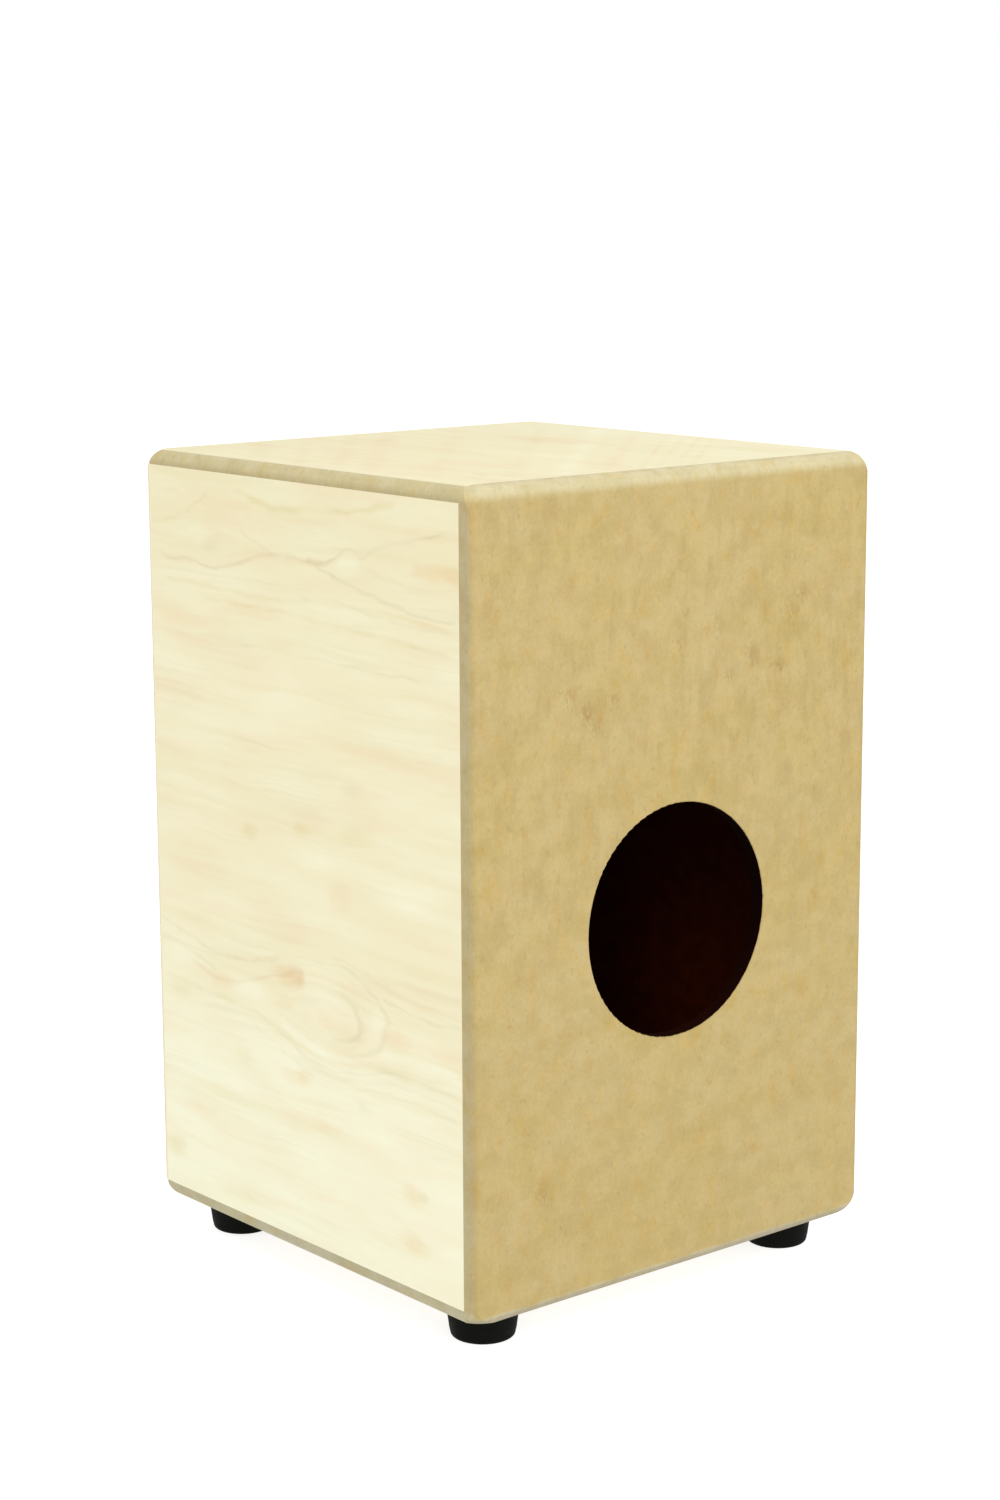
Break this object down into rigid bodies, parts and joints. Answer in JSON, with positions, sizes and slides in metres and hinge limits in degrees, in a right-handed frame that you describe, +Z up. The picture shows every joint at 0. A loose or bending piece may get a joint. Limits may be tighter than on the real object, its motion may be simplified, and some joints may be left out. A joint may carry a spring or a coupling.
{
  "type": "cajon",
  "caption": "Box drum to sit on: veneered MDF body, plywood striking plate, round sound hole in the back, rubber feet and an adjustable snare bar inside.",
  "frame": {"origin": "on the floor under the middle of the box, where the feet stand", "axes": "+Z up; the struck plate (tapa) faces -Y and the back panel with the sound hole faces +Y; right, as seen from in front of the tapa, is +X"},
  "size_m": [0.3, 0.3, 0.48],
  "materials": {
    "raw_mdf": "sanded, sealed MDF",
    "maple_veneer": "satin lacquer",
    "birch_plywood": "satin lacquer",
    "pine_battens": "stained dark",
    "beech": "bare, sanded",
    "black_screws": "black phosphate",
    "zinc_screws": "bright zinc",
    "snare_steel": "drawn steel",
    "black_rubber": "matt moulded"
  },
  "bodies": {
    "box": {"seat_panel": "raw_mdf", "base_panel": "raw_mdf", "back_panel": "raw_mdf", "left_side_panel": "raw_mdf", "right_side_panel": "raw_mdf", "seat_veneer": "maple_veneer", "left_side_veneer": "maple_veneer", "right_side_veneer": "maple_veneer", "tapa": "birch_plywood", "front_batten_left": "pine_battens", "front_batten_right": "pine_battens", "front_batten_top": "pine_battens", "front_batten_bottom": "pine_battens", "rear_batten_left": "pine_battens", "rear_batten_right": "pine_battens", "rear_batten_top": "pine_battens", "rear_batten_bottom": "pine_battens", "seat_batten_left": "pine_battens", "seat_batten_right": "pine_battens", "base_batten_left": "pine_battens", "base_batten_right": "pine_battens", "snare_block_left": "beech", "snare_block_right": "beech", "tapa_screws": "black_screws", "snare_block_screws": "zinc_screws", "foot_screws": "zinc_screws", "foot_washers": "zinc_screws", "foot_front_left": "black_rubber", "foot_front_right": "black_rubber", "foot_rear_left": "black_rubber", "foot_rear_right": "black_rubber"},
    "snares": {"snare_bar": "beech", "snare_plate_left": "snare_steel", "snare_plate_right": "snare_steel", "snare_wires_left": "snare_steel", "snare_wires_right": "snare_steel", "snare_plate_screws": "zinc_screws"}
  },
  "joints": [
    {"name": "snare_bar_turn", "type": "hinge", "parent": "box", "child": "snares", "pos_m": [0, -0.117, 0.405], "axis": [1, 0, 0], "range_deg": [0, 30]}
  ]
}
